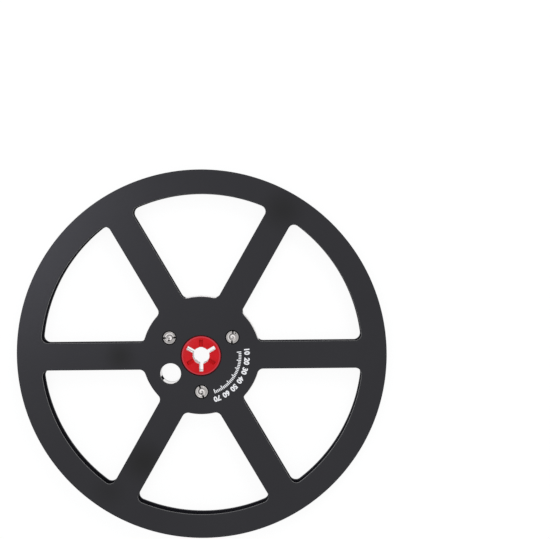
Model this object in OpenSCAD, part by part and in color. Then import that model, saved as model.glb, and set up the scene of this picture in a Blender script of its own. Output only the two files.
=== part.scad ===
// Empty metal tape reel: two thin spoked flanges clamped on an aluminium hub.
// +Z runs along the spindle and out of the front face, and the rear face lies on Z = 0.
// All sizes are in millimetres and all angles run counter-clockwise, seen from the front.

/* [Reel] */
// Diameter of both flanges
reel_d = 178; // [150:1:200]
// Thickness of each flange
flange_t = 1.2; // [1.1:0.1:1.6]
// Clear width between the flanges, where the tape is wound
tape_gap = 7; // [6.8:0.1:9]
// Width of the solid rim around the windows
rim_w = 11.4; // [6:0.1:16]
// Number of spokes and of windows
spoke_count = 6; // [5:1:7]
// Width of a spoke
spoke_w = 13.1; // [9:0.1:16]
// Radius of the window corners at the rim
rim_corner_r = 3.1; // [1.5:0.1:4]
// Radius of the window corners at the centre disc
disc_corner_r = 3; // [1.5:0.1:4]
// Small chamfer on the outer edges of the flanges and the hub
edge_chamfer = 0.15; // [0.1:0.05:0.3]

/* [Hub] */
// Diameter of the hub that the tape is wound on
hub_d = 57.2; // [56:0.1:62]
// How far the hub stands out past the centre disc of a flange
hub_proud = 0.25; // [0.1:0.05:0.6]
// Diameter of the spindle bore
spindle_d = 8.06; // [8:0.02:8.2]
// Width of the three key slots beside the spindle bore
key_slot_w = 1.9; // [1.6:0.05:2]
// Distance from the centre to the end of a key slot
key_slot_reach = 7.7; // [6.8:0.1:8]

/* [Tape threading] */
// Diameter of the hole that the end of the tape is pulled through
thread_hole_d = 10; // [8:0.1:10.8]
// Distance from the outside of the hub to the middle of the threading hole
thread_hole_inset = 11.5; // [9:0.1:11.8]
// Width of the slot from the threading hole to the outside of the hub
tape_slot_w = 2; // [1.2:0.1:3]

/* [Spindle plates] */
// Diameter of the red face that shows in the flange
plate_d = 18.8; // [18:0.1:19.4]
// Gap around the red face
plate_gap = 0.5; // [0.1:0.05:0.6]
// How far the red face lies below the flange
plate_set_back = 0.1; // [0:0.05:0.3]
// Chamfer around the red face
plate_chamfer = 0.35; // [0.1:0.05:0.5]
// How far the hidden lip stands out past the red face
lip_w = 1.25; // [0.8:0.05:1.3]
// Thickness of the hidden lip
lip_t = 1; // [0.8:0.1:1.6]
// Clearance around the lip in its seat
lip_gap = 0.05; // [0.02:0.01:0.1]
// Depth of the three blind recesses that hold a twisted spindle lock
lock_depth = 1.2; // [0.6:0.1:1.5]
// Width of the key that stops a plate from turning
plate_key_w = 1.6; // [1:0.1:2.4]
// How far the key stands out past the lip
plate_key_out = 0.7; // [0.4:0.1:1]

/* [Screws and nuts] */
// Distance from the outside of the hub to each clamp screw
screw_inset = 11.1; // [9:0.1:12]
// Diameter of the screw heads and nut heads
head_d = 6.1; // [5.6:0.1:6.4]
// Thickness of the heads
head_t = 0.65; // [0.5:0.05:0.7]
// How far the heads lie below the face of the flange
head_set_back = 0.1; // [0.05:0.05:0.2]
// Gap around a head in its round recess
head_gap = 0.4; // [0.2:0.05:0.6]
// Outer diameter of the sleeve on the nut
sleeve_d = 4.4; // [4:0.1:4.8]
// Length of the sleeve below the nut's head
sleeve_len = 5; // [3:0.5:6]
// Outer diameter of the screw thread
screw_d = 3; // [2.5:0.1:3.2]
// How far the end of the screw lies below the top of the nut
tip_set_back = 0.1; // [0:0.05:0.4]
// Chamfer at the end of the screw
tip_chamfer = 0.2; // [0.1:0.05:0.6]
// Width of the screwdriver slots
driver_slot_w = 0.85; // [0.5:0.05:1]
// Depth of the slot in a screw head
screw_slot_depth = 0.4; // [0.3:0.05:0.45]
// How far the slot of a nut cuts through its head into the top of the sleeve
nut_slot_below = 0.3; // [0.05:0.05:0.4]
// Running clearance between a shaft and its hole, on the radius
run_gap = 0.05; // [0.02:0.01:0.1]

/* [Hidden] */
$fn = 96;

// Overshoot of a cut past the faces that it opens
cut = 1;

// Heights
reel_t = 2 * flange_t + tape_gap;
hub_top = flange_t + tape_gap;
head_seat = head_t + head_set_back;

// Radii
reel_r = reel_d / 2;
rim_r = reel_r - rim_w;
hub_r = hub_d / 2;
disc_r = hub_r - hub_proud;
spindle_r = spindle_d / 2;
plate_r = plate_d / 2;
plate_hole_r = plate_r + plate_gap;
lip_r = plate_r + lip_w;
lip_seat_r = lip_r + lip_gap;
head_r = head_d / 2;
sleeve_r = sleeve_d / 2;
screw_r = screw_d / 2;
screw_place = hub_r - screw_inset;
thread_hole_place = hub_r - thread_hole_inset;

// Directions of the features around the centre
spoke_step = 360 / spoke_count;
key_slot_angles = [30, 150, 270];
lock_angles = [90, 210, 330];
screw_angles = [30, 150, 270];
thread_angle = 210;
plate_key_angle = 90;

// Directions of the driver slots, as the nuts and screws were left when they were tightened
nut_slot_angles = [84, 2, 108];
screw_slot_angles = [20, 75, 140];

// Colours
anodised_black = [0.22, 0.22, 0.24];
bare_aluminium = [0.78, 0.77, 0.76];
red_plastic = [0.8, 0.1, 0.13];
bright_steel = [0.72, 0.71, 0.7];

// Places its children on the hub at a distance from the centre and an angle
module around(place, angle) {
    rotate([0, 0, angle])
        translate([place, 0, 0])
            children();
}

// The sharp corner that a round corner takes away from a window.
// The round touches the circle at arc_r, from inside it at the rim or outside it at the disc.
// edge is the distance of the spoke's side from the spoke's own centre line.
module corner_waste(arc_r, round_r, edge, at_rim) {
    middle_r = at_rim ? arc_r - round_r : arc_r + round_r;
    along = sqrt(pow(middle_r, 2) - pow(edge + round_r, 2));
    beyond = at_rim ? round_r : -round_r;
    far = (arc_r + beyond) / middle_r;
    difference() {
        polygon([
            [along, edge + round_r],
            [along, edge - round_r / 2],
            [along + 2 * beyond, edge - round_r / 2],
            [along * far, (edge + round_r) * far]
        ]);
        translate([along, edge + round_r])
            circle(r = round_r);
    }
}

// One window between two spokes, with its middle on the X axis
module window_outline() {
    half = spoke_step / 2;
    edge = spoke_w / 2;
    tip = edge / sin(half);
    difference() {
        intersection() {
            circle(r = rim_r);
            polygon([
                [tip, 0],
                [tip + reel_r * cos(half), reel_r * sin(half)],
                [tip + reel_r * cos(half), -reel_r * sin(half)]
            ]);
        }
        circle(r = disc_r);
        for (side = [0, 1])
            mirror([0, side, 0])
                rotate(-half) {
                    corner_waste(rim_r, rim_corner_r, edge, true);
                    corner_waste(disc_r, disc_corner_r, edge, false);
                }
    }
}

// A flange lying on Z = 0 with its outer face up. hole_r is the hole under each head.
module flange_plate(hole_r) {
    difference() {
        rotate_extrude()
            polygon([
                [plate_hole_r, 0],
                [reel_r - edge_chamfer, 0],
                [reel_r, edge_chamfer],
                [reel_r, flange_t - edge_chamfer],
                [reel_r - edge_chamfer, flange_t],
                [plate_hole_r, flange_t]
            ]);
        for (i = [0:spoke_count - 1])
            rotate([0, 0, (i + 0.5) * spoke_step])
                translate([0, 0, -cut])
                    linear_extrude(flange_t + 2 * cut)
                        window_outline();
        for (angle = screw_angles)
            around(screw_place, angle) {
                translate([0, 0, -cut])
                    cylinder(r = hole_r, h = flange_t + 2 * cut);
                translate([0, 0, flange_t - head_seat])
                    cylinder(r = head_r + head_gap, h = head_seat + cut);
            }
        around(thread_hole_place, thread_angle)
            translate([0, 0, -cut])
                cylinder(d = thread_hole_d, h = flange_t + 2 * cut);
    }
}

module front_flange() {
    color(anodised_black)
        translate([0, 0, hub_top])
            flange_plate(sleeve_r + run_gap);
}

module rear_flange() {
    color(anodised_black)
        translate([0, 0, flange_t])
            mirror([0, 0, 1])
                flange_plate(screw_r + run_gap);
}

// Cuts slots of one width along some directions, from one distance to another and between two heights
module slots(angles, width, near, reach, low, high) {
    for (angle = angles)
        rotate([0, 0, angle])
            translate([near, -width / 2, low])
                cube([reach - near, width, high - low]);
}

// The hub's body as a turned ring, with a seat for a plate's lip at both ends
module hub_blank() {
    rotate_extrude()
        polygon([
            [spindle_r, flange_t + lip_t],
            [lip_seat_r, flange_t + lip_t],
            [lip_seat_r, flange_t],
            [hub_r - edge_chamfer, flange_t],
            [hub_r, flange_t + edge_chamfer],
            [hub_r, hub_top - edge_chamfer],
            [hub_r - edge_chamfer, hub_top],
            [lip_seat_r, hub_top],
            [lip_seat_r, hub_top - lip_t],
            [spindle_r, hub_top - lip_t]
        ]);
}

module hub_core() {
    key_seat_w = plate_key_w + 2 * lip_gap;
    key_seat_reach = lip_r + plate_key_out + lip_gap;
    color(bare_aluminium)
        difference() {
            hub_blank();
            slots(key_slot_angles, key_slot_w, 0, key_slot_reach, 0, reel_t);
            slots([thread_angle], tape_slot_w, thread_hole_place, hub_r + cut, 0, reel_t);
            slots([plate_key_angle], key_seat_w, lip_r - cut, key_seat_reach, 0, flange_t + lip_t);
            slots([plate_key_angle], key_seat_w, lip_r - cut, key_seat_reach, hub_top - lip_t, reel_t);
            for (angle = screw_angles)
                around(screw_place, angle)
                    cylinder(r = sleeve_r + run_gap, h = reel_t);
            around(thread_hole_place, thread_angle)
                cylinder(d = thread_hole_d, h = reel_t);
        }
}

// A spindle plate lying on Z = 0 with its face up. The flange traps its lip on the hub.
module spindle_plate() {
    face = lip_t + flange_t - plate_set_back;
    difference() {
        union() {
            rotate_extrude()
                polygon([
                    [spindle_r, 0],
                    [lip_r, 0],
                    [lip_r, lip_t],
                    [plate_r, lip_t],
                    [plate_r, face - plate_chamfer],
                    [plate_r - plate_chamfer, face],
                    [spindle_r, face]
                ]);
            slots([plate_key_angle], plate_key_w, lip_r - cut, lip_r + plate_key_out, 0, lip_t);
        }
        slots(key_slot_angles, key_slot_w, 0, key_slot_reach, -cut, face + cut);
        slots(lock_angles, key_slot_w, 0, key_slot_reach, face - lock_depth, face + cut);
    }
}

module front_spindle_plate() {
    color(red_plastic)
        translate([0, 0, hub_top - lip_t])
            spindle_plate();
}

module rear_spindle_plate() {
    color(red_plastic)
        translate([0, 0, flange_t + lip_t])
            mirror([0, 0, 1])
                spindle_plate();
}

// A screwdriver slot across a head, opened from one height to another
module driver_slot(angle, low, high) {
    rotate([0, 0, angle])
        translate([-head_r - cut, -driver_slot_w / 2, low])
            cube([head_d + 2 * cut, driver_slot_w, high - low]);
}

// A round nut with a slotted head in the front flange and a threaded sleeve down into the hub
module sleeve_nut(number) {
    seat = reel_t - head_seat;
    top = reel_t - head_set_back;
    thread_r = screw_r + run_gap;
    color(bright_steel)
        around(screw_place, screw_angles[number - 1])
            difference() {
                rotate_extrude()
                    polygon([
                        [thread_r, seat - sleeve_len],
                        [sleeve_r, seat - sleeve_len],
                        [sleeve_r, seat],
                        [head_r, seat],
                        [head_r, top - edge_chamfer],
                        [head_r - edge_chamfer, top],
                        [thread_r, top]
                    ]);
                driver_slot(nut_slot_angles[number - 1] - screw_angles[number - 1],
                            seat - nut_slot_below, top + cut);
            }
}

module sleeve_nut_1() { sleeve_nut(1); }
module sleeve_nut_2() { sleeve_nut(2); }
module sleeve_nut_3() { sleeve_nut(3); }

// A screw with a slotted head in the rear flange. Its end shows in the middle of the nut.
module clamp_screw(number) {
    tip = reel_t - head_set_back - tip_set_back;
    color(bright_steel)
        around(screw_place, screw_angles[number - 1])
            difference() {
                rotate_extrude()
                    polygon([
                        [0, head_set_back],
                        [head_r - edge_chamfer, head_set_back],
                        [head_r, head_set_back + edge_chamfer],
                        [head_r, head_seat],
                        [screw_r, head_seat],
                        [screw_r, tip - tip_chamfer],
                        [screw_r - tip_chamfer, tip],
                        [0, tip]
                    ]);
                driver_slot(screw_slot_angles[number - 1] - screw_angles[number - 1],
                            head_set_back - cut, head_set_back + screw_slot_depth);
            }
}

module clamp_screw_1() { clamp_screw(1); }
module clamp_screw_2() { clamp_screw(2); }
module clamp_screw_3() { clamp_screw(3); }

front_flange();
rear_flange();
hub_core();
front_spindle_plate();
rear_spindle_plate();
sleeve_nut_1();
sleeve_nut_2();
sleeve_nut_3();
clamp_screw_1();
clamp_screw_2();
clamp_screw_3();
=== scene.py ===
# %% [markdown]
# # A metal reel for audio tape
# The real reel is eleven pieces: two flanges cut from thin sheet, a turned hub, two moulded plates
# that fit the machine's spindle, and three screws in three sleeve nuts that clamp it all together.
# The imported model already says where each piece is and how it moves. This lesson models the pieces
# again in their places, with the softened edges, turning marks, thread and print that a camera sees,
# gives each one a finish, and sets up a small studio around them.

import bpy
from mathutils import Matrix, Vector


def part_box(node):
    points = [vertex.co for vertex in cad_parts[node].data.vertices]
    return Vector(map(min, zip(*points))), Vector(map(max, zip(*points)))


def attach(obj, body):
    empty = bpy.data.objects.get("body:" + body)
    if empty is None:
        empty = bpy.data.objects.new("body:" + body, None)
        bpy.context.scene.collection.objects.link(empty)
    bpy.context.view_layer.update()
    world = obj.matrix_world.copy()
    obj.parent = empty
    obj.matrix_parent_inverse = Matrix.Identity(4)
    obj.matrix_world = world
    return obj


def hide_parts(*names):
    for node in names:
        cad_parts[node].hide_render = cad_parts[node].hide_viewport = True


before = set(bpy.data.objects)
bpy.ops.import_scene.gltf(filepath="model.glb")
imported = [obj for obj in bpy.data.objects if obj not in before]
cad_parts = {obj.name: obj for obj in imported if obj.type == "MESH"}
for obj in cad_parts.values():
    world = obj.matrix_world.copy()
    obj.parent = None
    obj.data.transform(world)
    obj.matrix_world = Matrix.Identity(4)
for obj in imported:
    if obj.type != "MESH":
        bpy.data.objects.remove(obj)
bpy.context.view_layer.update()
print("packed pieces:", ", ".join(sorted(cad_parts)))

# %% Tools and units
import math

import bmesh
import bpy

MM = 0.001
UP = (0, 0, 1)

# %% [markdown]
# ## Sizes
# A piece that is modelled again has to fit its neighbours. Measuring a drawing by eye would drift
# from them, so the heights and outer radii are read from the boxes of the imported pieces. The sizes
# that a box can't give, such as the width of a spoke, are named in millimetres, each one before the
# first piece that needs it.

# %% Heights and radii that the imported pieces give
front_low, front_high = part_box("front_flange")
rear_low, rear_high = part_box("rear_flange")
plate_low, plate_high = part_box("front_spindle_plate")
nut_low, nut_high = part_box("sleeve_nut_1")
screw_low, screw_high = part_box("clamp_screw_1")
front_face, hub_top = front_high.z, front_low.z
rear_face, hub_bottom = rear_low.z, rear_high.z
mid_height = (front_face + rear_face) / 2
reel_r = front_high.x
hub_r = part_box("hub_core")[1].x
lip_r = plate_high.x
head_r = (nut_high.x - nut_low.x) / 2
nut_top, screw_bottom = nut_high.z, screw_low.z
screw_tip = screw_high.z
print(f"reel {2000 * reel_r:.1f} mm across and {1000 * (front_face - rear_face):.1f} mm thick")

# %% Places around the hub
tape_angle = 210
tape_hole_distance = 17.1 * MM


def middle(node):
    """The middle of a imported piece, seen from the front."""
    low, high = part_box(node)
    return ((low.x + high.x) / 2, (low.y + high.y) / 2)


def polar(distance, degrees):
    """The point at a distance from the reel's axis, in a direction around it."""
    return (distance * math.cos(math.radians(degrees)), distance * math.sin(math.radians(degrees)))


hub_centre = (0, 0)
tape_hole_place = polar(tape_hole_distance, tape_angle)
screw_places = [middle(f"sleeve_nut_{number}") for number in (1, 2, 3)]
print("screws at", [f"{1000 * x:.2f}, {1000 * y:.2f}" for x, y in screw_places])

# %% [markdown]
# ## Drawing an outline
# A window has four round corners and two long arcs. It could be cut with blocks and filleted, but
# a fillet on a faceted arc goes wrong, so the outline is drawn the way a draughtsman would: one
# point is carried along it, extruded along the straight parts and spun round the arcs' centres.
# In a script without a window, spin turns clockwise for a positive angle, so the angle is negated.


# %% A pen made of one vertex
def deselect_all():
    """Lets go of everything, because an operator acts on all that is selected."""
    bpy.ops.object.select_all(action="DESELECT")


def pen_down(name, x, y, z):
    """Starts an outline: a small plane is merged into one vertex at a point."""
    deselect_all()
    bpy.ops.mesh.primitive_plane_add(size=MM)
    bpy.context.object.name = name
    bpy.ops.object.mode_set(mode="EDIT")
    bpy.ops.mesh.select_mode(type="VERT")
    bpy.ops.mesh.merge(type="CENTER")
    bpy.ops.transform.translate(value=(x, y, z))
    return bpy.context.object


def line(dx, dy, dz=0):
    """Draws a straight stretch from the pen."""
    bpy.ops.mesh.extrude_vertices_move(TRANSFORM_OT_translate={"value": (dx, dy, dz)})


def arc(x, y, degrees, every=7.5):
    """Draws an arc round a centre, counter-clockwise, with a point every few degrees."""
    steps = max(2, round(abs(degrees) / every))
    bpy.ops.mesh.spin(steps=steps, angle=-math.radians(degrees), center=(x, y, 0), axis=UP)


# %% [markdown]
# ## Closing a skin and softening its edges
# A closed outline still has two points where it starts and ends, and a skin that was pulled and
# filled has loose edges and faces that look inwards. Both are mended with Merge by Distance and
# Recalculate Normals. No real edge is quite sharp, and a rounded one catches the light. The Bevel
# modifier rounds all edges alike, and the bevel operator only those that are selected, so the
# windows, whose edges are rubbed rounder than the rest, are done with the operator.

# %% What counts as one point, a sharp edge and a round wall
same_point = 0.001 * MM
too_short = 0.02 * MM
sharp_edge = math.radians(35)
wall_bend = 20


# %% Merge points and close a skin
def merge_points(reach=same_point):
    """Merges all points that lie closer together than a reach."""
    bpy.ops.mesh.select_all(action="SELECT")
    bpy.ops.mesh.remove_doubles(threshold=reach)


def turn_outwards():
    """Turns all faces outwards and leaves edit mode."""
    bpy.ops.mesh.select_all(action="SELECT")
    bpy.ops.mesh.normals_make_consistent(inside=False)
    bpy.ops.object.mode_set(mode="OBJECT")


def close_skin():
    """Merges doubles, drops stray edges, turns all faces outwards and leaves edit mode."""
    merge_points()
    bpy.ops.mesh.delete_loose()
    turn_outwards()


# %% Round and soften edges
def take_up(piece):
    """Selects one piece alone and makes it the active one."""
    deselect_all()
    piece.select_set(True)
    bpy.context.view_layer.objects.active = piece


def round_edges(piece, near_r, far_r, width):
    """Rounds the sharp edges that lie between two distances from the reel's axis."""
    bpy.ops.object.mode_set(mode="EDIT")
    bpy.ops.mesh.select_mode(type="EDGE")
    mesh = bmesh.from_edit_mesh(piece.data)
    for edge in mesh.edges:
        place = (edge.verts[0].co + edge.verts[1].co) / 2
        is_sharp = edge.calc_face_angle(0) > sharp_edge
        edge.select = is_sharp and near_r < math.hypot(place.x, place.y) < far_r
    mesh.select_flush_mode()
    bmesh.update_edit_mesh(piece.data)
    bpy.ops.mesh.bevel(offset=width, segments=3)
    bpy.ops.object.mode_set(mode="OBJECT")


def smooth_walls(piece, bend=wall_bend):
    """Smooths walls that bend by no more than some degrees a face, while flat faces stay flat."""
    bpy.ops.object.shade_smooth_by_angle(angle=math.radians(bend))
    print(f"{piece.name}: {len(piece.data.polygons)} faces")


def soften(piece, width, steps=2, bend=wall_bend):
    """Bevels the sharp edges and smooths the round walls."""
    take_up(piece)
    bpy.ops.object.mode_set(mode="EDIT")
    merge_points(too_short)
    bpy.ops.object.mode_set(mode="OBJECT")
    bpy.ops.object.modifier_add(type="BEVEL")
    edge = piece.modifiers[-1]
    edge.width = width
    edge.segments = steps
    edge.limit_method = "ANGLE"
    edge.angle_limit = sharp_edge
    bpy.ops.object.modifier_apply(modifier=edge.name)
    smooth_walls(piece, bend)


# %% [markdown]
# ## The flanges
# Each flange is one flat sheet with six windows, a hole for the red plate, a hole to thread the
# tape through, and three stepped holes that sink the screw heads. Cutting a disc with booleans
# would leave a crooked net of edges on the face. Here all outlines are drawn on the outer face,
# pulled through the sheet as walls, and both faces are filled. The windows are rubbed smoother than
# the rim and the holes, so their edges are rounded wider, and draw a light line in the photo.

# %% Sizes of the windows
spokes = 6
window_turn = 360 / spokes
half_spoke = 6.55 * MM
rim_w = 11.4 * MM
disc_inset = 0.25 * MM
window_rim_r = reel_r - rim_w
disc_r = hub_r - disc_inset
rim_corner_r = 3.1 * MM
disc_corner_r = 3 * MM
print(f"windows from {1000 * disc_r:.1f} to {1000 * window_rim_r:.1f} mm from the axis")


# %% One window, drawn from its corner at the rim
def corner(arc_r, round_r, at_rim):
    """How far along the spoke the middle of a round corner lies, and its angle off the spoke."""
    middle_r = arc_r - round_r if at_rim else arc_r + round_r
    off = half_spoke + round_r
    return math.sqrt(middle_r**2 - off**2), math.degrees(math.asin(off / middle_r))


def draw_window(name, z):
    """Draws the window above the spoke on the X axis, as a closed outline."""
    rim_along, rim_angle = corner(window_rim_r, rim_corner_r, True)
    disc_along, disc_angle = corner(disc_r, disc_corner_r, False)
    piece = pen_down(name, *polar(window_rim_r, rim_angle), z)
    arc(rim_along, half_spoke + rim_corner_r, -90 - rim_angle)
    line(disc_along - rim_along, 0)
    arc(disc_along, half_spoke + disc_corner_r, disc_angle - 90)
    arc(*hub_centre, window_turn - 2 * disc_angle, every=2.5)
    far_disc = polar(math.hypot(disc_along, half_spoke + disc_corner_r), window_turn - disc_angle)
    arc(*far_disc, disc_angle - 90)
    line(*polar(rim_along - disc_along, window_turn))
    far_rim = polar(window_rim_r - rim_corner_r, window_turn - rim_angle)
    arc(*far_rim, -90 - rim_angle)
    arc(*hub_centre, 2 * rim_angle - window_turn, every=1)
    merge_points()
    return piece


# %% Sizes of the holes and the edges
plate_hole_r = 9.9 * MM
thread_hole_r = 5 * MM
recess_r = head_r + 0.4 * MM
head_seat = 0.75 * MM
sleeve_r = 2.2 * MM
bore_r = 1.55 * MM
run_gap = 0.05 * MM
window_edge = 0.25 * MM
flange_edge = 0.1 * MM
flange_bend = 12
face_reach = 0.01 * MM
print(f"recesses {2000 * recess_r:.1f} mm across for heads {2000 * head_r:.1f} mm across")


# %% Circles, and pulling them into walls
def draw_circle(centre, radius, z, points):
    """Adds a circle to the outlines."""
    bpy.ops.mesh.primitive_circle_add(vertices=points, radius=radius, location=(*centre, z))


def pull(height):
    """Extrudes what is selected straight up or down."""
    bpy.ops.mesh.extrude_region_move(TRANSFORM_OT_translate={"value": (0, 0, height)})


def sink_hole(centre, hole_r, outer_z, depth, through):
    """Draws a stepped hole: a recess for a head, its floor, and a hole through the rest."""
    draw_circle(centre, recess_r, outer_z, points=64)
    pull(depth)
    pull(0)
    share = hole_r / recess_r
    bpy.ops.transform.resize(value=(share, share, 1), center_override=(*centre, outer_z + depth))
    pull(through - depth)


def fill_face(piece, height):
    """Fills the flat face between the outlines at a height."""
    mesh = bmesh.from_edit_mesh(piece.data)
    for vertex in mesh.verts:
        vertex.select = abs(vertex.co.z - height) < face_reach
    mesh.select_flush_mode()
    bmesh.update_edit_mesh(piece.data)
    bpy.ops.mesh.fill(use_beauty=True)


# %% A whole flange
def make_flange(name, outer_z, inner_z, screw_hole_r):
    """A sheet from its outer face to its inner face, with stepped holes for the screws."""
    through = inner_z - outer_z
    piece = draw_window(name, outer_z)
    all_round = -math.radians(360 - window_turn)
    bpy.ops.mesh.spin(
        steps=spokes - 1, dupli=True, angle=all_round, center=(*hub_centre, 0), axis=UP)
    draw_circle(hub_centre, reel_r, outer_z, points=360)
    draw_circle(hub_centre, plate_hole_r, outer_z, points=144)
    draw_circle(tape_hole_place, thread_hole_r, outer_z, points=96)
    bpy.ops.mesh.select_all(action="SELECT")
    pull(through)
    for place in screw_places:
        sink_hole(place, screw_hole_r, outer_z, math.copysign(head_seat, through), through)
    for height in (outer_z, inner_z):
        fill_face(piece, height)
    close_skin()
    round_edges(piece, disc_r - MM, window_rim_r + MM, window_edge)
    soften(piece, flange_edge, bend=flange_bend)
    return piece


front_flange = make_flange("front_flange_sheet", front_face, hub_top, sleeve_r + run_gap)
rear_flange = make_flange("rear_flange_sheet", rear_face, hub_bottom, bore_r)

# %% [markdown]
# ## Turned and milled pieces
# The hub, the plates, the nuts and the screws start on a lathe: a profile goes once round an axis.
# Slots and holes are then milled and drilled. In Blender the profile is drawn with the same pen,
# spun through a full turn, and cut with simple tools by the Boolean modifier, in the same order as
# in the workshop. The bevel comes last, as a deburring tool would.


# %% A lathe
def turn(name, centre, profile, points):
    """Spins a closed profile of radii and heights round an upright axis."""
    (first_r, first_z), *others = profile
    piece = pen_down(name, centre[0] + first_r, centre[1], first_z)
    for (r, z), (next_r, next_z) in zip(profile, [*others, profile[0]]):
        line(next_r - r, 0, next_z - z)
    merge_points()
    bpy.ops.mesh.spin(steps=points, angle=math.tau, center=(*centre, 0), axis=UP)
    close_skin()
    return piece


# %% Milling cutters and drills
def work(piece, tool, operation="DIFFERENCE"):
    """Cuts a tool's shape out of a piece, or keeps or adds it, and takes the tool away."""
    take_up(piece)
    bpy.ops.object.modifier_add(type="BOOLEAN")
    step = piece.modifiers[-1]
    step.operation = operation
    step.solver = "EXACT"
    step.object = tool
    bpy.ops.object.modifier_apply(modifier=step.name)
    bpy.data.objects.remove(tool)


def drill(centre, radius, low, high, points=64):
    """A round tool between two heights."""
    deselect_all()
    place = (*centre, (low + high) / 2)
    bpy.ops.mesh.primitive_cylinder_add(
        vertices=points, radius=radius, depth=high - low, location=place)
    bpy.ops.object.transform_apply()
    return bpy.context.object


def cutter(centre, degrees, near, reach, width, low, high):
    """A square tool that reaches from a centre in one direction, between two heights."""
    deselect_all()
    along = polar((near + reach) / 2, degrees)
    place = (centre[0] + along[0], centre[1] + along[1], (low + high) / 2)
    bpy.ops.mesh.primitive_cube_add(
        size=1, scale=(reach - near, width, high - low), location=place,
        rotation=(0, 0, math.radians(degrees)))
    bpy.ops.object.transform_apply()
    return bpy.context.object


# %% [markdown]
# ## The hub
# The tape is wound on this ring of bare aluminium. Only its wall shows, between the flanges and as
# a thin bright line past the centre disc, and inside the spindle bore and the threading hole. The
# hidden seats for the plates are made too, because the mesh is also kept as a piece by itself.
# Slots and holes could be drawn into an outline, as in the flanges, but the seats stop at other
# heights, so it is simpler to turn one ring and mill it, as in the workshop.

# %% Sizes of the hub
spindle_r = 4.03 * MM
lip_t = 1 * MM
lip_gap = 0.05 * MM
key_slot_angles = (30, 150, 270)
key_slot_w = 1.9 * MM
key_slot_reach = 7.7 * MM
plate_key_angle = 90
plate_key_w = 1.6 * MM
plate_key_reach = plate_high.y
tape_slot_w = 2 * MM
hub_edge = 0.12 * MM
print(f"hub {2000 * hub_r:.1f} mm across, with a bore of {2000 * spindle_r:.2f} mm")

# %% Turn, slot and drill the hub
hub = turn("hub_ring", hub_centre, [
    (spindle_r, hub_bottom + lip_t),
    (lip_r + lip_gap, hub_bottom + lip_t),
    (lip_r + lip_gap, hub_bottom),
    (hub_r, hub_bottom),
    (hub_r, hub_top),
    (lip_r + lip_gap, hub_top),
    (lip_r + lip_gap, hub_top - lip_t),
    (spindle_r, hub_top - lip_t),
], points=180)
for angle in key_slot_angles:
    work(hub, cutter(hub_centre, angle, 0, key_slot_reach, key_slot_w, rear_face, front_face))
key_seat = (lip_r - MM, plate_key_reach + lip_gap, plate_key_w + 2 * lip_gap)
for low, high in ((rear_face, hub_bottom + lip_t), (hub_top - lip_t, front_face)):
    work(hub, cutter(hub_centre, plate_key_angle, *key_seat, low, high))
for place in screw_places:
    work(hub, drill(place, sleeve_r + run_gap, rear_face, front_face))
work(hub, drill(tape_hole_place, thread_hole_r, rear_face, front_face, points=96))
work(hub, cutter(tape_hole_place, tape_angle, 0, hub_r, tape_slot_w, rear_face, front_face))
soften(hub, hub_edge)

# %% [markdown]
# ## The red spindle plates
# The spindle of the machine has three ribs. They pass through the three open slots, and when the
# top of the spindle is twisted they lie in the three blind recesses and hold the reel down. The
# plate is moulded plastic, so its outer edge is drawn as two short slopes and rounded. The front
# plate is modelled, and the rear plate is its mirror image, with the faces turned outwards again.

# %% Sizes of the plates
plate_r = 9.4 * MM
lock_angles = (90, 210, 330)
lock_depth = 1.2 * MM
steep_drop, steep_in = 0.3 * MM, 0.12 * MM
gentle_drop, gentle_in = 0.1 * MM, 0.4 * MM
plate_edge = 0.1 * MM
print(f"plate {2000 * plate_r:.1f} mm across in a hole of {2000 * plate_hole_r:.1f} mm")


# %% Turn a plate, add its key and cut its slots
def make_plate(name):
    """The plate in the front flange, with its hidden lip on the hub."""
    seat, face = plate_low.z, plate_high.z
    brim = seat + lip_t
    piece = turn(name, hub_centre, [
        (spindle_r, seat),
        (lip_r, seat),
        (lip_r, brim),
        (plate_r, brim),
        (plate_r, face - steep_drop),
        (plate_r - steep_in, face - gentle_drop),
        (plate_r - gentle_in, face),
        (spindle_r, face),
    ], points=144)
    key = (plate_key_angle, lip_r - MM, plate_key_reach, plate_key_w)
    work(piece, cutter(hub_centre, *key, seat, brim), "UNION")
    slot = (0, key_slot_reach, key_slot_w)
    for angle in key_slot_angles:
        work(piece, cutter(hub_centre, angle, *slot, seat - MM, face + MM))
    for angle in lock_angles:
        work(piece, cutter(hub_centre, angle, *slot, face - lock_depth, face + MM))
    soften(piece, plate_edge)
    return piece


front_plate = make_plate("front_plate_moulding")


# %% Mirror a copy for the rear
def mirrored(piece, name, height):
    """A copy of a piece, mirrored in a level plane at a height."""
    take_up(piece)
    bpy.ops.object.duplicate()
    copy = bpy.context.object
    copy.name = name
    bpy.ops.object.mode_set(mode="EDIT")
    bpy.ops.mesh.select_all(action="SELECT")
    bpy.ops.transform.resize(value=(1, 1, -1), center_override=(*hub_centre, height))
    turn_outwards()
    print(f"{copy.name}: {len(copy.data.polygons)} faces")
    return copy


rear_plate = mirrored(front_plate, "rear_plate_moulding", mid_height)

# %% [markdown]
# ## The sleeve nuts
# Each nut is a thin round head on a threaded sleeve. Its driver slot goes right through the head,
# so outside the sleeve it shows the black floor of the recess, and looks like two dark notches.
# The end of the screw fills its middle. A fine groove and a countersink stand for the marks that
# the lathe left around the hole. They could be left to a bump, but from the side a bump is flat.

# %% Sizes of the nuts
head_rim = 0.12 * MM
groove_radii = (2.6 * MM, 2.45 * MM, 2.3 * MM)
groove_depth = 0.1 * MM
countersink = 0.05 * MM
driver_slot_w = 0.85 * MM
nut_slot_angles = (84, 2, 108)
nut_slot_below = 0.3 * MM
nut_edge = 0.04 * MM
print(f"nut sleeve {2000 * sleeve_r:.1f} mm across round a screw of {2000 * bore_r:.1f} mm")


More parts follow.
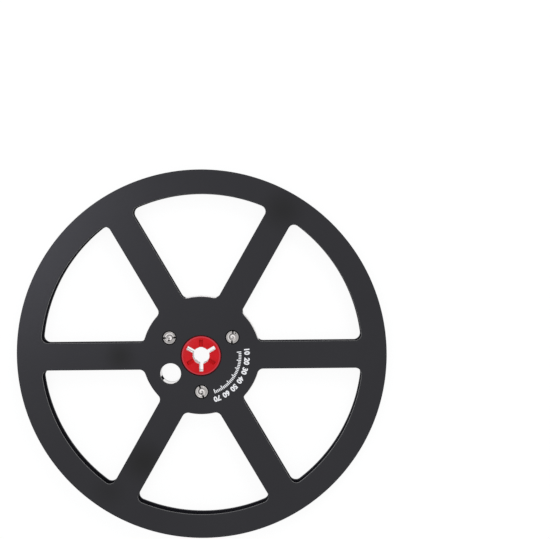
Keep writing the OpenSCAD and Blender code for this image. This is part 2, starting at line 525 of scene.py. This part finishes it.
# %% Turn a nut and mill its slot
def make_nut(number):
    """One nut in the front flange, with its slot as it was left when tightened."""
    place = screw_places[number - 1]
    seat = front_face - head_seat
    groove_outer, groove_middle, groove_inner = groove_radii
    piece = turn(f"sleeve_nut_{number}_turning", place, [
        (bore_r, nut_low.z),
        (sleeve_r - head_rim, nut_low.z),
        (sleeve_r, nut_low.z + head_rim),
        (sleeve_r, seat),
        (head_r, seat),
        (head_r, nut_top - head_rim),
        (head_r - head_rim, nut_top),
        (groove_outer, nut_top),
        (groove_middle, nut_top - groove_depth),
        (groove_inner, nut_top),
        (bore_r + countersink, nut_top),
        (bore_r, nut_top - countersink),
    ], points=72)
    slot = (nut_slot_angles[number - 1], -2 * head_r, 2 * head_r, driver_slot_w)
    work(piece, cutter(place, *slot, seat - nut_slot_below, nut_top + MM))
    soften(piece, nut_edge, steps=1)
    return piece


nuts = [make_nut(number) for number in (1, 2, 3)]

# %% [markdown]
# ## The clamp screws
# A screw comes from the rear through both flanges, and its end shows in the middle of the nut. A
# plain cylinder would look like a rivet. A real thread runs out through the chamfer of the end and
# leaves a small spiral there. So one pitch of the thread is drawn, the Screw modifier winds it up,
# its ends are capped, and only what lies inside the chamfered envelope of the screw is kept.

# %% Sizes of the screws
thread_r = 1.49 * MM
thread_root_r = 1.2 * MM
thread_pitch = 0.5 * MM
flank, crest, root = 0.4 * thread_pitch, 0.15 * thread_pitch, 0.05 * thread_pitch
spare_turns, steps_a_turn = 4, 32
thread_starts = (-25, -35, -40)
tip_chamfer = 0.2 * MM
centre_mark_r, centre_mark_depth = 0.35 * MM, 0.15 * MM
head_overlap = 0.1 * MM
screw_slot_angles = (20, 75, 140)
screw_slot_depth = 0.4 * MM
print(f"thread of {1000 * thread_pitch:.1f} mm pitch, {2000 * thread_r:.2f} mm across")


# %% Wind a thread
def wind_thread(name, place, start, low, high):
    """A threaded rod that reaches a little past two heights, from a start in degrees."""
    rise = thread_r - thread_root_r
    piece = pen_down(name, thread_root_r, 0, low - spare_turns / 2 * thread_pitch)
    line(rise, 0, flank)
    line(0, 0, crest)
    line(-rise, 0, flank)
    line(0, 0, root)
    bpy.ops.object.mode_set(mode="OBJECT")
    bpy.ops.object.modifier_add(type="SCREW")
    winding = piece.modifiers[-1]
    winding.steps = winding.render_steps = steps_a_turn
    winding.screw_offset = thread_pitch
    winding.iterations = math.ceil((high - low) / thread_pitch) + spare_turns
    bpy.ops.object.modifier_apply(modifier=winding.name)
    piece.location = (*place, 0)
    piece.rotation_euler = (0, 0, math.radians(start))
    bpy.ops.object.transform_apply()
    bpy.ops.object.mode_set(mode="EDIT")
    merge_points()
    bpy.ops.mesh.select_all(action="DESELECT")
    bpy.ops.mesh.select_non_manifold()
    bpy.ops.mesh.fill_holes(sides=0)
    bpy.ops.mesh.quads_convert_to_tris()
    close_skin()
    return piece


# %% Turn a screw, thread it and mill its slot
def make_screw(number):
    """One screw, from its head in the rear flange to its end in the nut."""
    place = screw_places[number - 1]
    seat = rear_face + head_seat
    start = thread_starts[number - 1]
    piece = wind_thread(f"clamp_screw_{number}_turning", place, start, seat, screw_tip)
    shank = turn("shank", place, [
        (0, seat - head_overlap),
        (bore_r, seat - head_overlap),
        (bore_r, screw_tip - tip_chamfer),
        (bore_r - tip_chamfer, screw_tip),
        (centre_mark_r, screw_tip),
        (0, screw_tip - centre_mark_depth),
    ], points=64)
    work(piece, shank, "INTERSECT")
    head = turn("head", place, [
        (0, screw_bottom),
        (head_r - head_rim, screw_bottom),
        (head_r, screw_bottom + head_rim),
        (head_r, seat),
        (0, seat),
    ], points=72)
    work(piece, head, "UNION")
    slot = (screw_slot_angles[number - 1], -2 * head_r, 2 * head_r, driver_slot_w)
    work(piece, cutter(place, *slot, screw_bottom - MM, screw_bottom + screw_slot_depth))
    smooth_walls(piece)
    return piece


screws = [make_screw(number) for number in (1, 2, 3)]

# %% [markdown]
# ## The print
# The front flange carries a little white print to the right of the hub. On this part it is a plain
# scale: a row of round numbers over a row of ticks. Text objects give clean digits. Each one is
# thickened, made a mesh and carried to its place on the arc, with its top outwards. The ink lies
# mostly inside the sheet and only a thin coat stands out, so no gap shows under it.

# %% Sizes of the scale
print_low = front_face - 0.03 * MM
print_high = front_face + 0.006 * MM
print_middle = (print_high + print_low) / 2
scale_start, tick_step = 5, 2.5
ticks_a_number, number_count = 5, 7
tick_count = ticks_a_number * (number_count - 1) + 1
tick_angles = [scale_start - tick_step * count for count in range(tick_count)]
number_angles = tick_angles[::ticks_a_number]
number_r, number_size, stroke_gain = 22 * MM, 3.4 * MM, 0.14 * MM
tick_r, tick_w = 19.4 * MM, 0.45 * MM
long_tick, short_tick = 2.1 * MM, 1.3 * MM
print(f"{number_count} numbers, and {tick_count} ticks {1000 * tick_w:.2f} mm wide")


# %% A number and a tick
def place_on_arc(degrees, distance):
    """Moves the active object from the origin to its place on an arc, its top outwards."""
    piece = bpy.context.object
    piece.rotation_euler = (0, 0, math.radians(degrees - 90))
    piece.location = (*polar(distance, degrees), print_middle)
    bpy.ops.object.transform_apply()
    return piece


def make_number(text, degrees):
    """One number, thickened by half its height each way."""
    deselect_all()
    bpy.ops.object.text_add()
    words = bpy.context.object.data
    words.body = text
    words.size = number_size
    words.align_x = words.align_y = "CENTER"
    words.offset = stroke_gain
    words.extrude = (print_high - print_low) / 2
    words.resolution_u = 6
    bpy.ops.object.convert(target="MESH")
    return place_on_arc(degrees, number_r)


def make_tick(degrees, length):
    """One tick of the scale, with its outer end on the arc of the ticks."""
    deselect_all()
    bpy.ops.mesh.primitive_cube_add(size=1, scale=(tick_w, length, print_high - print_low))
    bpy.ops.object.transform_apply()
    return place_on_arc(degrees, tick_r - length / 2)


# %% The whole scale
marks = [make_number(str(10 * count), angle) for count, angle in enumerate(number_angles, 1)]
for count, angle in enumerate(tick_angles):
    marks.append(make_tick(angle, short_tick if count % ticks_a_number else long_tick))
take_up(marks[0])
for mark in marks:
    mark.select_set(True)
bpy.ops.object.join()
scale_print = bpy.context.object
scale_print.name = "printed_scale"
bpy.ops.object.mode_set(mode="EDIT")
close_skin()
print(f"{scale_print.name}: {len(scale_print.data.polygons)} faces")

# %% [markdown]
# ## Finishes
# Four finishes cover the reel, and the white ink is a fifth. Each one reads the piece's own
# coordinates, in metres. A turned surface is the same all the way round its axis, so its noise is
# looked up by distance from the axis and by height, which draws fine rings on a face and fine
# lines along a wall. Numbers that are the same all over are set on the shader itself. Placing and
# linking every node by hand would take four lines each, so a small helper adds a node with all that
# goes into it, and the recipes below read like a list of what is done to the surface.


# %% Nodes, sockets and shaders
def plug(owner, socket, value):
    """Links a node's output into an input, or sets the input to a number, a place or a colour."""
    if isinstance(value, bpy.types.NodeSocket):
        owner.node_tree.links.new(value, socket)
    else:
        socket.default_value = value


def add_node(owner, kind, inputs, **settings):
    """Adds a node to a material or a world, fills its inputs, and gives its outputs."""
    node = owner.node_tree.nodes.new(kind)
    for name, value in settings.items():
        setattr(node, name, value)
    for name, value in inputs.items():
        plug(owner, node.inputs[name], value)
    return node.outputs


def new_finish(name):
    """A node material with one Principled shader."""
    finish = bpy.data.materials.new(name)
    finish.use_nodes = True
    return finish


def coat(finish, **inputs):
    """Fills inputs of the finish's shader. An underscore stands for a space in a name."""
    shader = finish.node_tree.nodes["Principled BSDF"]
    for name, value in inputs.items():
        plug(finish, shader.inputs[name.replace("_", " ")], value)


# %% Sums, noise and colours
noise_low, noise_high = 0.3, 0.7
full_within = 0.6


def math_node(owner, operation, *values):
    """The result of a sum whose terms are sockets or numbers."""
    return add_node(owner, "ShaderNodeMath", dict(enumerate(values)), operation=operation)["Value"]


def noise(finish, vector, scale, detail=3.0):
    """A noise texture that reads a vector, with its scale in features per metre."""
    inputs = {"Vector": vector, "Scale": scale, "Detail": detail}
    return add_node(finish, "ShaderNodeTexNoise", inputs)["Fac"]


def map_range(finish, value, start, end, low=0, high=1, ease="LINEAR"):
    """Maps a value from one range to another, and holds it at the ends."""
    inputs = {"Value": value, "From Min": start, "From Max": end, "To Min": low, "To Max": high}
    return add_node(finish, "ShaderNodeMapRange", inputs, interpolation_type=ease)["Result"]


def between(finish, share, low, high):
    """Maps a noise, from the lowest to the highest that is common in it, to a range."""
    return map_range(finish, share, noise_low, noise_high, low, high)


def nearness(finish, value, middle, reach):
    """A share that is 1 within six tenths of a reach from a value's middle, and 0 beyond it."""
    off = math_node(finish, "ABSOLUTE", math_node(finish, "SUBTRACT", value, middle))
    return map_range(finish, off, reach, full_within * reach)


def lay_over(finish, share, below, colour):
    """Lays a colour over what is below it by a share."""
    inputs = {"Factor": share, "A": below, "B": (*colour, 1)}
    return add_node(finish, "ShaderNodeMix", inputs, data_type="RGBA")["Result"]


def shades(finish, share, dark, light):
    """Goes from a dark colour to a light one by a share."""
    return lay_over(finish, share, (*dark, 1), light)


# %% Where a point lies and which way it faces
def around_axis(finish, centre):
    """The place on the piece from an upright axis, the distance from that axis, and the height."""
    on_piece = add_node(finish, "ShaderNodeTexCoord", {})["Object"]
    shift = {"Vector": on_piece, "Location": (-centre[0], -centre[1], 0)}
    place = add_node(finish, "ShaderNodeMapping", shift)["Vector"]
    apart = add_node(finish, "ShaderNodeSeparateXYZ", {"Vector": place})
    flat = add_node(finish, "ShaderNodeCombineXYZ", {"X": apart["X"], "Y": apart["Y"]})["Vector"]
    distance = add_node(finish, "ShaderNodeVectorMath", {0: flat}, operation="LENGTH")["Value"]
    return place, distance, apart["Z"]


def around(finish, place):
    """The direction of a place around its axis, in radians."""
    apart = add_node(finish, "ShaderNodeSeparateXYZ", {"Vector": place})
    return math_node(finish, "ARCTAN2", apart["Y"], apart["X"])


def from_middle(finish, height):
    """How far a height is from the middle of the reel's thickness, above or below it."""
    return math_node(finish, "ABSOLUTE", math_node(finish, "SUBTRACT", height, mid_height))


def levelness(finish):
    """1 where the surface is level, whether it faces up or down, and 0 on an upright wall."""
    normal = add_node(finish, "ShaderNodeNewGeometry", {})["Normal"]
    apart = add_node(finish, "ShaderNodeSeparateXYZ", {"Vector": normal})
    return math_node(finish, "ABSOLUTE", apart["Z"])


# %% Bumps, dull places, dirt and painted shade
def bump(finish, height, depth):
    """Gives the surface small hills of some depth, in metres."""
    inputs = {"Strength": 1, "Distance": depth, "Height": height}
    coat(finish, Normal=add_node(finish, "ShaderNodeBump", inputs)["Normal"])


def dull(finish, share):
    """Makes the finish rough where a share is high, whatever its roughness was."""
    roughness = finish.node_tree.nodes["Principled BSDF"].inputs["Roughness"]
    before = roughness.links[0].from_socket
    coat(finish, Roughness=math_node(finish, "MAXIMUM", before, share))


def soil_and_shade(finish, share, clean, dirt_and_shade):
    """Covers clean metal by a share with a dull colour, for dirt and for painted shade. It doesn't
    shine like metal.
    """
    metallic = math_node(finish, "SUBTRACT", 1, share)
    coat(finish, Base_Color=lay_over(finish, share, clean, dirt_and_shade), Metallic=metallic)
    dull(finish, share)


# %% Dress a piece
def dress(piece, finish, slot, body, *nodes):
    """Gives a piece its finish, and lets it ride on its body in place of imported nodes."""
    piece.data.materials.clear()
    piece.data.materials.append(finish)
    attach(piece, body)
    if nodes:
        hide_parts(*nodes)
    print(f"{piece.name}: {finish.name}, {len(finish.node_tree.nodes)} nodes")


# %% [markdown]
# ### Satin black anodising
# Anodised sheet is rolled first, then etched and dyed. The etch leaves a very fine, even grain, and
# the rolling leaves faint streaks in one direction. Both are too small to see at arm's length, but
# they break up the reflection of the studio. The dye varies a little over the sheet, and four
# soft patches on it are darker. The floors of the recesses are darkened with painted shade and
# made dull. A mask for it could be painted, but height and slope find those floors without painting.

# %% Dyes, painted recess shade and patches
dark_dye, light_dye = (0.0088, 0.0085, 0.0118), (0.0114, 0.0111, 0.0145)
# A darker colour laid over four soft patches of the sheet.
dark_patch_colour = (0.0005, 0.0005, 0.001)
# Painted shade: a near-black laid on the floors of the screw recesses.
painted_recess_shade = (0.003, 0.003, 0.003)
recess_shade_reach = 0.35 * MM
rolling_stretch = (1, 40, 1)
sheet_gloss = (0.28, 0.3)
etch_depth = 0.004 * MM
dark_patches = (
    (polar(39 * MM, 180), 10 * MM, 1),
    (polar(58.5 * MM, 241), 15 * MM, 1),
    (polar(80 * MM, 60), 14 * MM, 0.8),
    (polar(80 * MM, 235), 12 * MM, 0.5),
)


# %% Anodised sheet
def soft_patch(finish, centre, reach, strength):
    """A share that is strongest in the middle of a patch and fades out at its reach."""
    distance = around_axis(finish, centre)[1]
    return map_range(finish, distance, reach, 0, high=strength, ease="SMOOTHSTEP")


def anodised_sheet():
    """Satin black, with a fine etch, faint rolling streaks, uneven dye and painted shade in the
    recesses.
    """
    finish = new_finish("satin black anodising")
    place, _, height = around_axis(finish, hub_centre)
    uneven = between(finish, noise(finish, place, scale=25), 0, 1)
    dyed = shades(finish, uneven, dark_dye, light_dye)
    # Four soft patches are darker.
    for patch in dark_patches:
        dyed = lay_over(finish, soft_patch(finish, *patch), dyed, dark_patch_colour)
    # Painted shade on the level floors of the screw recesses, which are also made dull.
    recess_floor = (front_face - rear_face) / 2 - head_seat
    in_recess = nearness(finish, from_middle(finish, height), recess_floor, recess_shade_reach)
    recess_shade = math_node(finish, "MULTIPLY", in_recess, levelness(finish))
    stretched = {"Vector": place, "Scale": rolling_stretch}
    streaks = add_node(finish, "ShaderNodeMapping", stretched)["Vector"]
    rolled = between(finish, noise(finish, streaks, scale=60), *sheet_gloss)
    shaded_dye = lay_over(finish, recess_shade, dyed, painted_recess_shade)
    coat(finish, Base_Color=shaded_dye, Roughness=rolled, Specular_IOR_Level=0.3)
    dull(finish, recess_shade)
    bump(finish, noise(finish, place, scale=5000, detail=1), etch_depth)
    return finish


anodising = anodised_sheet()
dress(front_flange, anodising, "black_anodised", "reel", "front_flange")
dress(rear_flange, anodising, "black_anodised", "reel", "rear_flange")

# %% [markdown]
# ### Turned metal
# The hub is bare aluminium, and the screws and nuts are plated steel. Both show the marks of the
# lathe, so one recipe serves them all, with its axis moved to the middle of each piece. Halfway
# down the bore of the hub a dark ring of painted shade is laid on, which is dull and hardly
# metallic.


# %% Turned metal around an axis
def bare_metal(name, centre, roughness):
    """A metal finish, with the place from an axis, the distance from it and the height."""
    finish = new_finish(name)
    place, distance, height = around_axis(finish, centre)
    spots = noise(finish, place, scale=900)
    spots = between(finish, spots, roughness - 0.02, roughness + 0.04)
    coat(finish, Metallic=1, Roughness=spots)
    return finish, place, distance, height


def ring_marks(finish, distance, height, marks_per_mm, seed=0):
    """A share that changes only with the distance from the axis and the height."""
    inputs = {"X": distance, "Y": seed, "Z": height}
    ring = add_node(finish, "ShaderNodeCombineXYZ", inputs)["Vector"]
    return between(finish, noise(finish, ring, scale=marks_per_mm / MM, detail=2), 0, 1)


# %% Bare aluminium with painted shade in the bore
dark_aluminium, light_aluminium = (0.74, 0.715, 0.71), (0.89, 0.865, 0.86)
# Painted shade: a dark band laid halfway down the bore.
painted_bore_shade = (0.1, 0.06, 0.06)
bore_reach = 0.5 * MM
bore_shade_reach = 1.1 * MM
turning_depth = 0.003 * MM


def turned_aluminium():
    """Bright metal with fine rings, and a dark ring of painted shade halfway down the bore."""
    finish, _, distance, height = bare_metal("turned aluminium", hub_centre, roughness=0.24)
    rings = ring_marks(finish, distance, height, marks_per_mm=2)
    # Painted shade on the bore wall, halfway down.
    in_bore = nearness(finish, distance, spindle_r, bore_reach)
    in_middle = nearness(finish, height, mid_height, bore_shade_reach)
    painted_tone = math_node(finish, "MULTIPLY", in_bore, in_middle)
    soil_and_shade(finish, painted_tone, shades(finish, rings, dark_aluminium, light_aluminium), painted_bore_shade)
    bump(finish, rings, turning_depth)
    return finish


dress(hub, turned_aluminium(), "bare_aluminium", "reel", "hub_core")

# %% [markdown]
# ### Faced and slotted steel
# In the photo each nut shows a small swirl in its middle. A facing tool that moves inwards while
# the piece turns leaves such a mark: on a polar plot it is a straight line, so a sine of distance
# plus angle draws it. Its strong light and dark arms in the colour are painted highlight and shade,
# and the dimple in its middle is darkened with painted shade. Further out only faint rings are left.
# A driver slot is milled later, and painted shade makes it almost black between its floor and a
# little below the face. A small spot of old oil, in the same near-black, has dried on each face.

# %% Steel, oil, painted slot shade and where they are
# The range from dark to light steel carries the faint rings, and the painted highlight and shade of
# the swirl.
dark_steel, light_steel = (0.1, 0.097, 0.094), (0.98, 0.94, 0.915)
# Near-black for the spots of old oil, and for the painted shade in the driver slots.
oil_and_slot_shade = (0.01, 0.009, 0.0085)
swirl_reach, swirl_feed = 2.5 * MM, 1.7 * MM
dimple_reach = 0.5 * MM
facing_depth = 0.012 * MM
# The swirl's strong light and dark in the colour are painted highlight and shade.
swirl_strength, swirl_base = 0.7, 0.14
ring_strength, ring_base = 0.26, 0.19
# Painted shade in the dimple at the centre.
painted_dimple_shade = -0.35
slot_share = 0.7
swirl_starts = (-2.96, -1.2, -3.45)
oil_spots = (polar(2.4 * MM, 52), polar(1.3 * MM, -100), polar(0.9 * MM, -80))
oil_reaches = (0.42 * MM, 0.6 * MM, 0.45 * MM)


# %% The swirl and the rings
def swirl(finish, place, distance, start):
    """A share that winds outwards in one arm, by one feed for each turn."""
    outwards = math_node(finish, "MULTIPLY_ADD", distance, math.tau / swirl_feed, start)
    wound = math_node(finish, "ADD", around(finish, place), outwards)
    wave = math_node(finish, "SINE", wound)
    return math_node(finish, "MULTIPLY_ADD", wave, 0.5, 0.5)


def facing_marks_and_highlights(finish, place, distance, height, start):
    """A share for a faced end: a swirl of painted highlight and shade in the middle, faint rings
    around it, and a dimple darkened with painted shade.
    """
    rings = ring_marks(finish, distance, height, marks_per_mm=1.8, seed=start)
    in_swirl = nearness(finish, distance, 0, swirl_reach)
    past_swirl = math_node(finish, "SUBTRACT", 1, in_swirl)
    wound = swirl(finish, place, distance, start)
    strong = math_node(finish, "MULTIPLY_ADD", wound, swirl_strength, swirl_base)
    faint = math_node(finish, "MULTIPLY_ADD", rings, ring_strength, ring_base)
    inner = math_node(finish, "MULTIPLY", in_swirl, strong)
    marks = math_node(finish, "MULTIPLY_ADD", past_swirl, faint, inner)
    # Painted shade in the dimple at the centre.
    dimple = nearness(finish, distance, 0, dimple_reach)
    shade = math_node(finish, "MULTIPLY_ADD", dimple, painted_dimple_shade, 1)
    return math_node(finish, "MULTIPLY", marks, shade)


# %% Painted shade in a slot, and the whole finish
def in_slot(finish, place, height, slot_angle, low, high):
    """A share that is 1 in a slot through the axis, between two heights."""
    side = (*polar(1, slot_angle + 90), 0)
    inputs = {0: place, 1: side}
    across = add_node(finish, "ShaderNodeVectorMath", inputs, operation="DOT_PRODUCT")["Value"]
    in_width = nearness(finish, across, 0, slot_share * driver_slot_w)
    in_depth = nearness(finish, height, (low + high) / 2, (high - low) / 2)
    return math_node(finish, "MULTIPLY", in_width, in_depth)


def slotted_steel(name, number, slot_angle, low, high):
    """Steel with facing marks and painted highlights, painted shade inside the slot, and a spot of
    oil.
    """
    centre, start = screw_places[number - 1], swirl_starts[number - 1]
    oil_x, oil_y = oil_spots[number - 1]
    oil_place = (centre[0] + oil_x, centre[1] + oil_y)
    finish, place, distance, height = bare_metal(f"{name} {number}", centre, roughness=0.3)
    marks = facing_marks_and_highlights(finish, place, distance, height, start)
    # Painted shade inside the driver slot, joined with a real spot of old oil.
    dirt_and_shade = in_slot(finish, place, height, slot_angle, low, high)
    oil = nearness(finish, around_axis(finish, oil_place)[1], 0, oil_reaches[number - 1])
    dirt_and_shade = math_node(finish, "MAXIMUM", dirt_and_shade, oil)
    soil_and_shade(finish, dirt_and_shade, shades(finish, marks, dark_steel, light_steel), oil_and_slot_shade)
    bump(finish, marks, facing_depth)
    return finish


# %% Dress the nuts and the screws
# Heights of the painted shade in the driver slots.
nut_shade_below, screw_shade_depth = 1.4 * nut_slot_below, 1.3 * screw_slot_depth
nut_slot_shade = (front_face - head_seat - nut_shade_below, nut_top)
screw_slot_shade = (screw_bottom, screw_bottom + screw_shade_depth)
for number in (1, 2, 3):
    nut_steel = slotted_steel("nut steel", number, nut_slot_angles[number - 1], *nut_slot_shade)
    dress(nuts[number - 1], nut_steel, "turned_steel", f"nut_{number}", f"sleeve_nut_{number}")
    screw_steel = slotted_steel("screw steel", number, screw_slot_angles[number - 1], *screw_slot_shade)
    dress(screws[number - 1], screw_steel, "turned_steel", f"screw_{number}",
          f"clamp_screw_{number}")

# %% [markdown]
# ### Red plastic
# The plates are moulded in a strong red with a slightly glossy skin that is never quite flat. A
# painted highlight lightens the outer edge and the walls of the spindle opening, where the keys
# slide in. Painted shade darkens the gap around the plate, the blind recesses and the walls near
# the rear, and a painted highlight lightens the bore there. A red of one tone would look like a toy,
# and each of these marks could be painted by hand, but all of them follow from distance, direction,
# height and slope.

# %% Reds, painted highlights and painted shade
dark_red, light_red = (0.5, 0.005, 0.008), (0.58, 0.007, 0.012)
# Painted highlight for the outer edge, and painted shade for the blind recesses and the gap.
painted_edge_highlight, red_recess_shade, painted_gap_shade = (0.52, 0.04, 0.055), (0.56, 0.001, 0.003), (0.075, 0.0005, 0.001)
# Painted highlight for the walls of the opening, painted shade for the walls near the rear, and a
# painted highlight for the bore there.
painted_wall_highlight, painted_low_shade, painted_bore_highlight = (0.82, 0.5, 0.5), (0.12, 0.09, 0.08), (0.8, 0.7, 0.68)
edge_highlight_inset, edge_highlight_reach = 0.35 * MM, 0.4 * MM
recess_reach = 0.9 * MM
gap_reach = 1.15 * MM
opening_middle, opening_reach = 5.5 * MM, 3.2 * MM
# Reach of the painted shade near the rear.
low_shade_reach = 2.6 * MM
steepness = 0.6
skin_gloss = (0.28, 0.38)
skin_depth = 0.006 * MM


# %% Moulded red plastic
def skin_red(finish, place, distance, height):
    """Uneven red, with a painted highlight on the outer edge and painted shade in the recesses and
    in the gap around it.
    """
    cloud = between(finish, noise(finish, place, scale=300), 0, 1)
    colour = shades(finish, cloud, dark_red, light_red)
    # Painted highlight along the rounded outer edge.
    edge_highlight = nearness(finish, distance, plate_r - edge_highlight_inset, edge_highlight_reach)
    colour = lay_over(finish, edge_highlight, colour, painted_edge_highlight)
    # Painted shade in the blind recesses.
    recess_floor = (front_face - rear_face) / 2 - lock_depth
    in_recess = nearness(finish, from_middle(finish, height), recess_floor, recess_reach)
    colour = lay_over(finish, in_recess, colour, red_recess_shade)
    # Painted shade in the gap around the plate.
    in_gap = nearness(finish, distance, plate_r + MM, gap_reach)
    return lay_over(finish, in_gap, colour, painted_gap_shade)


def wall_highlights_and_shade(finish, place, distance, height, colour):
    """Painted highlight on the upright walls of the opening, painted shade on them near the rear,
    and a painted highlight in the bore there.
    """
    on_wall = nearness(finish, levelness(finish), 0, steepness)
    in_bore = nearness(finish, distance, spindle_r, bore_reach)
    thirds = math_node(finish, "MULTIPLY_ADD", around(finish, place), 3, -math.pi / 2)
    in_key_slot = nearness(finish, math_node(finish, "COSINE", thirds), 1, 1)
    within = nearness(finish, distance, opening_middle, opening_reach)
    bore_or_slot = math_node(finish, "MAXIMUM", in_bore, in_key_slot)
    opening = math_node(finish, "MULTIPLY", bore_or_slot, within)
    painted_tone = math_node(finish, "MULTIPLY", on_wall, opening)
    # Painted highlight on the walls of the opening.
    colour = lay_over(finish, painted_tone, colour, painted_wall_highlight)
    # Painted shade on the walls near the rear.
    near_rear = nearness(finish, height, rear_face, low_shade_reach)
    low_wall = math_node(finish, "MULTIPLY", on_wall, near_rear)
    colour = lay_over(finish, low_wall, colour, painted_low_shade)
    # Painted highlight in the bore near the rear.
    low_bore = math_node(finish, "MULTIPLY", low_wall, in_bore)
    return lay_over(finish, low_bore, colour, painted_bore_highlight)


def moulded_plastic():
    """Red with a soft orange-peel skin, and painted highlights and painted shade on its edges and in
    the opening.
    """
    finish = new_finish("red moulded plastic")
    place, distance, height = around_axis(finish, hub_centre)
    colour = skin_red(finish, place, distance, height)
    colour = wall_highlights_and_shade(finish, place, distance, height, colour)
    gloss = between(finish, noise(finish, place, scale=700), *skin_gloss)
    coat(finish, Base_Color=colour, Roughness=gloss, Specular_IOR_Level=0.13)
    bump(finish, noise(finish, place, scale=1500, detail=1), skin_depth)
    return finish


plastic = moulded_plastic()
dress(front_plate, plastic, "red_plastic", "reel", "front_spindle_plate")
dress(rear_plate, plastic, "red_plastic", "reel", "rear_spindle_plate")

# %% [markdown]
# ### White ink
# The ink is a thin, dull white coat, a little uneven where the screen left less of it. An image of
# the print could be laid on the flange, but the numbers are a mesh, so a plain finish is enough.

# %% White printing ink
thin_ink, full_ink = (0.76, 0.76, 0.77), (0.9, 0.9, 0.91)


def printing_ink():
    """A dull white coat that is a little thin in places."""
    finish = new_finish("white printing ink")
    place = around_axis(finish, hub_centre)[0]
    cover = between(finish, noise(finish, place, scale=2500), 0, 1)
    coat(finish, Base_Color=shades(finish, cover, thin_ink, full_ink), Roughness=0.6)
    return finish


dress(scale_print, printing_ink(), "black_anodised", "reel")

# %% [markdown]
# ## The studio
# The reel lies face up on a white floor under a white sky, and the camera looks down on it from a
# little above and to the right of the hub. Lighting a floor until it is white would burn out the
# bright metal. So rays that come from the camera or from a glossy surface see plain white, and
# only the rest of the light, at a plain level, falls on the reel.


# %% Which rays see the white background
def seen_rays(owner):
    """A factor of 1 for camera, glossy and transmission rays."""
    path = add_node(owner, "ShaderNodeLightPath", {})
    mirrored_or_seen = math_node(owner, "MAXIMUM", path["Is Camera Ray"], path["Is Glossy Ray"])
    return math_node(owner, "MAXIMUM", mirrored_or_seen, path["Is Transmission Ray"])


def mix_shaders(owner, share, first, second):
    """Goes from one shader to another by a share."""
    return add_node(owner, "ShaderNodeMixShader", {"Fac": share, 1: first, 2: second})["Shader"]


# %% Sky
sky = bpy.data.worlds.new("white studio")
sky.use_nodes = True
bpy.context.scene.world = sky
soft_light = sky.node_tree.nodes["Background"]
soft_light.inputs["Color"].default_value = (0.97, 0.985, 1, 1)
soft_light.inputs["Strength"].default_value = 0.8
plain_white = {"Color": (1, 1, 1, 1), "Strength": 1}
cast = soft_light.outputs["Background"]
seen = add_node(sky, "ShaderNodeBackground", plain_white)["Background"]
sky_surface = sky.node_tree.nodes["World Output"].inputs["Surface"]
plug(sky, sky_surface, mix_shaders(sky, seen_rays(sky), cast, seen))
print(f"sky: {sky.name}, {len(sky.node_tree.nodes)} nodes")

# %% [markdown]
# ### The floor
# A floor that is all glow would show no shadow. So the camera sees nine tenths of a white glow and
# one tenth of the lit paint, in which the reel leaves a faint shadow, as in a cut-out photo. From
# below the floor is clear, so that the rear of the reel can be seen too.

# %% Floor
floor_size, floor_glow, glow_share = 4, 1.02, 0.9
deselect_all()
bpy.ops.mesh.primitive_plane_add(size=floor_size, location=(*hub_centre, rear_face))
bpy.ops.object.transform_apply()
floor = bpy.context.object
floor.name = "studio_floor"
paint = new_finish("floor paint")
coat(paint, Base_Color=(0.96, 0.96, 0.96, 1), Roughness=0.9)
lit = paint.node_tree.nodes["Principled BSDF"].outputs["BSDF"]
glow = add_node(paint, "ShaderNodeEmission", {"Strength": floor_glow})["Emission"]
share = math_node(paint, "MULTIPLY", seen_rays(paint), glow_share)
top = mix_shaders(paint, share, lit, glow)
clear = add_node(paint, "ShaderNodeBsdfTransparent", {})["BSDF"]
is_back = add_node(paint, "ShaderNodeNewGeometry", {})["Backfacing"]
floor_surface = paint.node_tree.nodes["Material Output"].inputs["Surface"]
plug(paint, floor_surface, mix_shaders(paint, is_back, top, clear))
floor.data.materials.append(paint)
print(f"{floor.name}: {floor_size} m wide")

# %% [markdown]
# ### Lamps and camera
# A small lamp from the upper left gives the soft sheen on that side of the sheet, and one from the
# top picks out the edges. The camera was fitted to the photo: its place, its turn and its lens were
# changed until the rim, the windows and the spokes of the model lay on those of the picture.


# %% Lamps
def lamp(name, place, width, power, colour=(1, 1, 1)):
    """A square soft light that faces the reel."""
    bpy.ops.object.light_add(type="AREA", location=place)
    light = bpy.context.object
    light.name = name
    light.data.size = width
    light.data.energy = power
    light.data.color = colour
    x, y, z = place
    light.rotation_euler = (math.atan2(math.hypot(x, y), z), 0, math.atan2(y, x) + math.pi / 2)
    print(f"{name}: {power} W from {math.hypot(x, y, z):.2f} m")


lamp("window_light", (-0.31, 0.115, 0.78), width=0.25, power=0.8, colour=(0.86, 0.86, 1))
lamp("edge_light", (0.3, 0.6, 0.62), width=0.3, power=2.1)

# %% Camera
camera_place = (29.89 * MM, 56.56 * MM, 545.06 * MM)
camera_turn = (-3.827, 1.302, -0.683)
bpy.ops.object.camera_add(
    location=camera_place, rotation=[math.radians(angle) for angle in camera_turn])
camera = bpy.context.object
camera.data.lens = 73.38
camera.data.sensor_width = 36
camera.data.shift_x = 0.07
camera.data.shift_y = 0.0773
bpy.context.scene.camera = camera
bpy.context.scene.view_settings.view_transform = "Standard"
print(f"camera: {camera.data.lens:.2f} mm lens, {camera_place[2]:.3f} m up")
